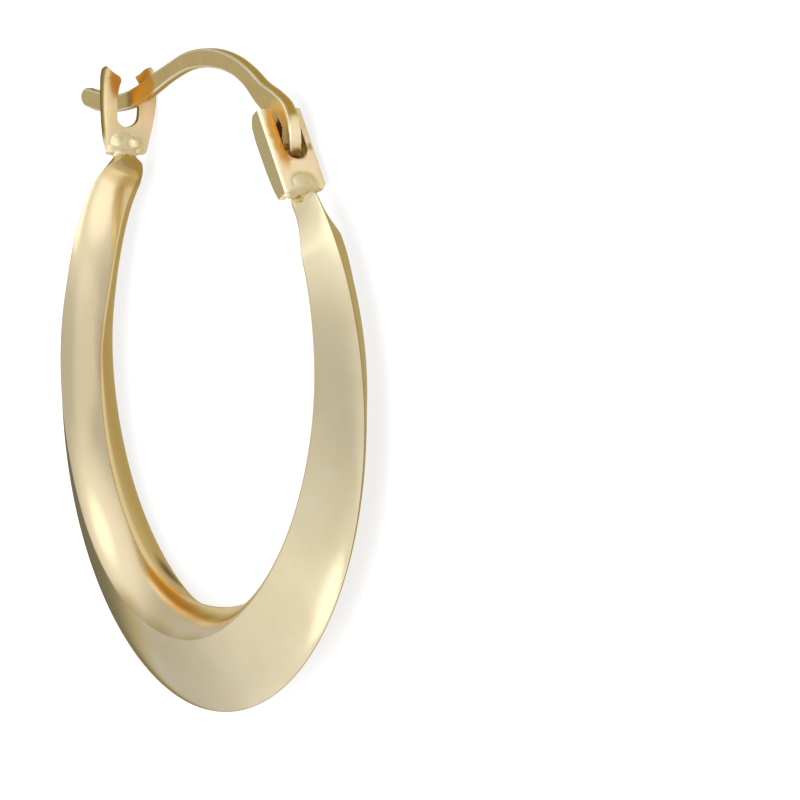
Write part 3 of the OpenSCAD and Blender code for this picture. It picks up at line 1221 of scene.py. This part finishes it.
@dataclass
class Catch:
    """The fork that the wire's neck snaps into, soldered on the other end of the hoop."""

    # Place of the plate's face along X, how far it is turned in degrees, thickness.
    plate_u: float = -6.33
    turn: float = 12
    thick: float = 0.3
    # From the upper tip round the seat to the lower tip: inner edge and outer edge,
    # each as height and place along Y, and how far the two edges are bent back.
    rows: tuple[tuple[float, ...], ...] = (
        (0.55, 12.34, 0.84, 12.6, 0.1, 0.08),
        (0.3, 12.18, 1.0, 12.5, 0.1, 0.1),
        (0.23, 12.02, 1.05, 12.3, 0.1, 0.13),
        (0.29, 11.86, 1.07, 12.08, 0.08, 0.14),
        (0.36, 11.62, 1.07, 11.8, 0.04, 0.15),
        (0.42, 11.25, 1.07, 11.35, 0.0, 0.16),
        (0.42, 10.8, 1.04, 10.6, 0.0, 0.16),
        (0.41, 10.55, 0.99, 10.0, 0.0, 0.15),
        (0.33, 10.4, 0.93, 9.6, 0.0, 0.1),
        (0.18, 10.29, 0.8, 9.24, 0.0, 0.0),
        (0.0, 10.25, 0.1, 9.18, 0.0, 0.0),
        (-0.18, 10.29, -0.62, 9.2, 0.0, 0.0),
        (-0.33, 10.4, -0.76, 9.4, 0.0, 0.0),
        (-0.41, 10.55, -0.86, 9.8, 0.0, 0.0),
        (-0.44, 10.8, -0.96, 10.2, 0.0, 0.0),
        (-0.45, 11.2, -1.08, 10.8, 0.0, 0.02),
        (-0.5, 11.55, -1.13, 11.3, 0.02, 0.04),
        (-0.52, 11.78, -1.12, 11.75, 0.04, 0.06),
        (-0.44, 11.95, -1.07, 12.15, 0.06, 0.06),
        (-0.34, 12.08, -1.02, 12.38, 0.09, 0.06),
        (-0.32, 12.16, -0.94, 12.52, 0.12, 0.07),
    )
    # Points across the plate and along it, and the shares of its length where the
    # upper prong ends.
    across: int = 15
    stations: int = 150
    prong_end: tuple[float, float] = (0.35, 0.45)

    def spot(self, high: float, y: float, back: float) -> Vector:
        """A point of the turned plate from its height, place and depth behind the face."""
        c, s = math.cos(math.radians(self.turn)), math.sin(math.radians(self.turn))
        return Vector((self.plate_u - back * c - high * s, y, high * c - back * s))

    def build(self) -> Piece:
        """Makes the fork.

        Returns:
            The piece.
        """

        def place(column: int, row: int) -> Vector:
            """Place of a point."""
            line = spline(self.rows, (len(self.rows) - 1) * row / (self.stations - 1))
            share = column / (self.across - 1)
            high = line[0] + (line[2] - line[0]) * share
            y = line[1] + (line[3] - line[1]) * share
            back = line[4] * (1 - share) ** 2 + line[5] * share**5
            return self.spot(high, y, back)

        def paint(column: int, row: int) -> float:
            """Paint of the upper prong's margin, which bends back: its dark colour is painted shade.
            """
            start, stop = self.prong_end
            upper = 1.0 - rise(row, start * self.stations, stop * self.stations)
            return upper * rise(column, self.across - 4.5, self.across - 2.5)

        fork = shaped_sheet("catch_fork", self.across, self.stations, place, paint)
        turn_face(fork, Vector((1, 0, 0)))
        # The cut edges go to a second slot for a while, so that they can be told apart.
        fork.data.materials.append(None)
        fork.data.materials.append(None)
        thicken(fork, self.thick, 0.035, 50, material_offset_rim=1)
        # The cut edges take the same dark colour as the margin's painted shade.
        margin = fork.data.attributes[PAINT]
        for face in fork.data.polygons:
            if face.material_index == 1:
                for corner in face.vertices:
                    margin.data[corner].value = 1.0
            face.material_index = 0
        fork.data.materials.clear()
        lay_down(fork, HARD_EDGE)
        return fork


@dataclass
class SolderBeads:
    """Solder that has set as round beads, melted into one another.

    Attributes:
        title: Name of the piece.
        beads: Each bead's place along X and Y, its height and its three radii.
        lean: How far the beads are turned round the hoop's axis, in degrees.
        grain: Size of the joined skin's faces.
        rounds: Rounds of smoothing, which make the soft fillets.
    """

    title: str
    beads: tuple[tuple[float, ...], ...]
    lean: float = 0
    grain: float = 0.02
    rounds: int = 14

    def bead(self, row: Sequence[float]) -> Piece:
        """Makes one bead.

        Args:
            row: The bead's row.

        Returns:
            The bead.
        """
        start_clean()
        bpy.ops.mesh.primitive_ico_sphere_add(subdivisions=4, radius=1)
        blob = bpy.context.object
        blob.data.transform(
            Matrix.Translation(Vector(row[:3]) * MM)
            @ Matrix.Rotation(math.radians(self.lean), 4, "Z")
            @ Matrix.Diagonal((*(r * MM for r in row[3:]), 1))
        )
        return blob

    def build(self) -> Piece:
        """Makes the beads and joins them as melting does.

        Returns:
            The piece.
        """
        blobs = [self.bead(row) for row in self.beads]
        pick(*blobs)
        bpy.ops.object.join()
        solder = blobs[0]
        solder.name = solder.data.name = self.title
        finish_with(
            solder, "REMESH", mode="VOXEL", voxel_size=self.grain * MM, use_smooth_shade=True
        )
        finish_with(solder, "SMOOTH", factor=0.5, iterations=self.rounds)
        lay_down(solder)
        return solder


CATCH_SOLDER = SolderBeads(
    "catch_solder",
    (
        (-6.52, 9.45, 0.04, 0.31, 0.32, 0.82),
        (-6.52, 9.26, 0.05, 0.38, 0.27, 0.56),
        (-6.52, 9.74, 0.0, 0.25, 0.44, 0.7),
        (-6.25, 9.62, -0.24, 0.24, 0.22, 0.22),
        (-6.34, 9.38, -0.44, 0.19, 0.2, 0.2),
        (-6.33, 9.3, 0.2, 0.2, 0.14, 0.36),
        (-6.38, 9.7, 0.36, 0.2, 0.2, 0.26),
    ),
)
# It fills the foot of the bracket round the end of the hoop.
HINGE_SOLDER = SolderBeads(
    "hinge_solder",
    (
        (6.72, 8.9, 0.02, 0.3, 0.46, 0.6),
        (6.84, 8.74, 0.0, 0.28, 0.28, 0.7),
        (6.8, 8.7, 0.1, 0.3, 0.26, 0.55),
        (6.9, 8.62, 0.68, 0.22, 0.2, 0.24),
        (6.8, 8.62, 0.46, 0.3, 0.24, 0.3),
    ),
    lean=35,
)


# The studio


@dataclass(frozen=True)
class Glow:
    """A broad soft glow of the room.

    Attributes:
        title: What it stands for, shown on its node.
        azimuth: Direction round the floor in degrees, from +X towards +Y.
        height: Degrees above the floor.
        inner: Degrees from its middle to where it starts to fade.
        outer: Degrees from its middle to where it ends.
        gain: Brightness that it adds.
    """

    title: str
    azimuth: float
    height: float
    inner: float
    outer: float
    gain: float

    def direction(self) -> Vector:
        """Unit vector towards it."""
        round_z, up = math.radians(self.azimuth), math.radians(self.height)
        flat = math.cos(up)
        return Vector((math.cos(round_z) * flat, math.sin(round_z) * flat, math.sin(up)))


@dataclass
class Studio:
    """Pale floor, soft light and the camera at the photograph's angle."""

    # Back and up directions of the camera, from a fit of the hoop's outline, and its
    # distance in millimetres.
    back: tuple[float, float, float] = (0.8626, 0.0959, 0.4967)
    up: tuple[float, float, float] = (-0.077, 0.9953, -0.0584)
    distance: float = 517
    # Width of the picture at the earring, in millimetres, and in pixels.
    field: float = 30.08
    picture: float = 800
    # Where the hoop's middle is in the picture.
    middle_px: tuple[float, float] = (211.56, 409.32)
    # Width of the camera's sensor in millimetres, and radius of the card in metres.
    sensor: float = 36
    floor_radius: float = 3
    card: str = "FAFAFA"
    # Share of the card's white that comes from a light below it, as on a light table.
    lit_through: float = 0.8
    # How the metal sees the card: inside the hoop, then under it, where it is darkened as a painted
    # shadow of the hoop, then behind it, far behind it and before it.
    in_hoop: str = "E9DFC4"
    under_hoop: str = "B7A676"
    behind_hoop: str = "6A6552"
    far_behind: str = "C2B690"
    before_hoop: str = "998E6C"
    # Radii where the painted shadow under the hoop starts and is full, and distances along X where the
    # other tones start, are full and give way to the far one.
    light_disc: float = 6.0
    dark_ring: float = 8.4
    dark_from: float = 10
    dark_full: float = 14
    light_again: float = 45
    # The soft box: direction, distance and side in metres, and power.
    box_way: tuple[float, float, float] = (0.1, -0.1, 1)
    box_away: float = 0.6
    box_size: float = 0.9
    box_watts: float = 10.0
    # Brightness of the room without its glows.
    room: float = 0.56
    glows: tuple[Glow, ...] = (
        Glow("side_of_the_closure", 85, 32, 8, 50, 0.45),
        Glow("window_at_the_closure", 84, 38, 5, 18, 0.45),
        Glow("side_of_the_wide_part", -90, 25, 25, 65, 0.35),
        Glow("window_at_the_wide_part", -70, 20, 6, 25, 0.32),
        Glow("lamp_over_the_wide_part", -104, 52, 8, 13.5, 0.6),
        Glow("ceiling_behind_the_camera", -5, 52, 12, 35, 0.2),
    )

    def place_camera(self) -> None:
        """Makes the camera and points it so that the hoop takes its place in the picture."""
        hoop = Vector((0, REST_SHIFT, REST_HEIGHT))
        back = Vector(self.back).normalized()
        right = Vector(self.up).cross(back).normalized()
        up = back.cross(right)
        mm_px = self.field / self.picture
        aside = (self.picture / 2 - self.middle_px[0]) * mm_px
        above = (self.middle_px[1] - self.picture / 2) * mm_px
        eye = hoop + back * self.distance
        aim = hoop + right * aside + up * above
        axis = (eye - aim).normalized()
        right = up.cross(axis).normalized()
        up = axis.cross(right)
        data = bpy.data.cameras.new("camera")
        data.sensor_width = self.sensor
        data.lens = self.sensor * self.distance / self.field
        data.clip_start, data.clip_end = 0.01, 20
        camera = bpy.data.objects.new("camera", data)
        camera.matrix_world = Matrix(
            (
                (right.x, up.x, axis.x, eye.x * MM),
                (right.y, up.y, axis.y, eye.y * MM),
                (right.z, up.z, axis.z, eye.z * MM),
                (0, 0, 0, 1),
            )
        )
        bpy.context.scene.collection.objects.link(camera)
        bpy.context.scene.camera = camera

    def lay_floor(self) -> None:
        """Lays the floor, a wide white card that the metal sees in duller tones, with a painted shadow
        under the hoop.
        """
        start_clean()
        bpy.ops.mesh.primitive_circle_add(
            vertices=96, radius=self.floor_radius, fill_type="NGON"
        )
        floor = bpy.context.object
        floor.name = "floor"
        material = bpy.data.materials.new("white_card")
        material.use_nodes = True
        tree = material.node_tree
        tree.nodes.clear()
        add = partial(add_node, tree)
        place = add("ShaderNodeTexCoord").outputs["Object"]
        away = add(
            "ShaderNodeVectorMath", {"operation": "DISTANCE", 1: (0, REST_SHIFT * MM, 0)}, {0: place}
        ).outputs["Value"]
        along_x = add("ShaderNodeSeparateXYZ", links={"Vector": place}).outputs["X"]
        tones = Mix.COLOURS
        in_metal = None
        # Each tone lies over those before it; the first is the painted shadow under the hoop.
        for value, fade, start, full, tone in (
            (away, "SMOOTHSTEP", self.light_disc, self.dark_ring, self.under_hoop),
            (along_x, "LINEAR", -self.dark_from, -self.dark_full, self.behind_hoop),
            (along_x, "LINEAR", -self.dark_full, -self.light_again, self.far_behind),
            (along_x, "LINEAR", self.dark_from, self.dark_full, self.before_hoop),
        ):
            share = add(
                "ShaderNodeMapRange",
                {"interpolation_type": fade, "From Min": start * MM, "From Max": full * MM},
                {"Value": value},
            ).outputs["Result"]
            under = {} if in_metal is None else {tones.under: in_metal}
            in_metal = add(
                "ShaderNodeMix",
                {"data_type": tones.data, tones.under: linear(self.in_hoop), tones.over: linear(tone)},
                {SHARE: share, **under},
            ).outputs[tones.out]
        ray = add("ShaderNodeLightPath")
        card = add("ShaderNodeBsdfDiffuse", {"Roughness": 0.0, "Color": linear(self.card)})
        seen = add(
            "ShaderNodeMix",
            {"data_type": tones.data, tones.under: linear("FFFFFF")},
            {SHARE: ray.outputs["Is Glossy Ray"], tones.over: in_metal},
        ).outputs[tones.out]
        glow = add("ShaderNodeEmission", {"Strength": 1.0}, {"Color": seen})
        lit = add(
            "ShaderNodeMath",
            {"operation": "MULTIPLY_ADD", 1: self.lit_through},
            {0: ray.outputs["Is Camera Ray"], 2: ray.outputs["Is Glossy Ray"]},
        )
        both = add(
            "ShaderNodeMixShader",
            links={0: lit.outputs[0], 1: card.outputs["BSDF"], 2: glow.outputs["Emission"]},
        )
        add("ShaderNodeOutputMaterial", links={"Surface": both.outputs["Shader"]})
        floor.data.materials.append(material)

    def hang_soft_box(self) -> None:
        """Hangs a square soft box that lights the card and doesn't show in the metal."""
        data = bpy.data.lights.new("soft_box_top", "AREA")
        data.shape = "SQUARE"
        data.size = self.box_size
        data.energy = self.box_watts
        lamp = bpy.data.objects.new("soft_box_top", data)
        spot = Vector(self.box_way).normalized() * self.box_away
        turn = spot.to_track_quat("Z", "Y").to_matrix().to_4x4()
        lamp.matrix_world = Matrix.Translation(spot) @ turn
        lamp.visible_camera = False
        lamp.visible_glossy = False
        bpy.context.scene.collection.objects.link(lamp)

    def light_room(self) -> None:
        """Lights the scene softly, with a dim room and a few broad glows in it."""
        world = bpy.data.worlds.new("studio")
        bpy.context.scene.world = world
        world.use_nodes = True
        tree = world.node_tree
        tree.nodes.clear()
        add = partial(add_node, tree)
        way = add("ShaderNodeTexCoord").outputs["Generated"]
        level = None
        for glow in self.glows:
            near = add(
                "ShaderNodeVectorMath",
                {"label": glow.title, "operation": "DOT_PRODUCT", 1: tuple(glow.direction())},
                {0: way},
            )
            lobe = add(
                "ShaderNodeMapRange",
                {
                    "interpolation_type": "SMOOTHSTEP",
                    "From Min": math.cos(math.radians(glow.outer)),
                    "From Max": math.cos(math.radians(glow.inner)),
                    "To Max": glow.gain,
                },
                {"Value": near.outputs["Value"]},
            ).outputs["Result"]
            level = add(
                "ShaderNodeMath",
                {"operation": "ADD", 1: self.room},
                {0: lobe} if level is None else {0: lobe, 1: level},
            ).outputs[0]
        levels = Mix.NUMBERS
        ray = add("ShaderNodeLightPath")
        seen = add(
            "ShaderNodeMix",
            {"data_type": levels.data, levels.over: 1.0},
            {SHARE: ray.outputs["Is Camera Ray"], levels.under: level},
        ).outputs[levels.out]
        sky = add("ShaderNodeBackground", {"Color": linear("FFFFFF")}, {"Strength": seen})
        add("ShaderNodeOutputWorld", links={"Surface": sky.outputs["Background"]})

    def set_up(self) -> None:
        """Sets up camera, floor and light."""
        self.place_camera()
        self.lay_floor()
        self.light_room()
        self.hang_soft_box()
        bpy.context.scene.view_settings.view_transform = "Standard"


@dataclass
class Workbench:
    """Builds the pieces in order and puts each in place of the node that it stands for."""

    frame: dict[str, Any]

    def hand_over(
        self,
        piece: Piece,
        finish: bpy.types.Material,
        body: Body,
        slot: Slot,
        node: str,
    ) -> None:
        """Dresses a piece and binds it to the frame.

        Args:
            piece: The piece.
            finish: Its material.
            body: The body that it rides on.
            slot: The record's slot of its finish; not used.
            node: The node that it stands for.
        """
        piece.data.materials.clear()
        piece.data.materials.append(finish)
        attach(piece, body.value)
        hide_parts(node)
        LOG.info("%s: %d faces on %s", piece.name, len(piece.data.polygons), body.value)

    def build_all(self) -> None:
        """Builds every piece."""
        metals = (POLISHED_GOLD, SATIN_GOLD, SOLDER, HINGE_GOLD, CATCH_GOLD, PIN_GOLD)
        made = {metal: metal.make() for metal in metals}
        on_hoop = (Body.HOOP, Slot.POLISHED, "hoop")
        on_wire = (Body.EAR_WIRE, Slot.SATIN, "ear_wire")
        for part, metal, place in (
            (HoopTube(), POLISHED_GOLD, on_hoop),
            (HingeBracket(), HINGE_GOLD, on_hoop),
            (Catch(), CATCH_GOLD, on_hoop),
            (CATCH_SOLDER, SOLDER, on_hoop),
            (HINGE_SOLDER, SOLDER, on_hoop),
            (EarWire(), SATIN_GOLD, on_wire),
        ):
            self.hand_over(part.build(), made[metal], *place)
        pin = self.frame["nodes"]["hinge_pin"]
        pin.data.materials.clear()
        pin.data.materials.append(made[PIN_GOLD])
        LOG.info("hinge_pin: kept as packed, with its own finish")


def main() -> None:
    """Builds the dressed earring on its frame."""
    logging.basicConfig(level=logging.INFO, format="%(name)s %(message)s")
    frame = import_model()
    Studio().set_up()
    Workbench(frame).build_all()


if __name__ == "__main__":
    main()
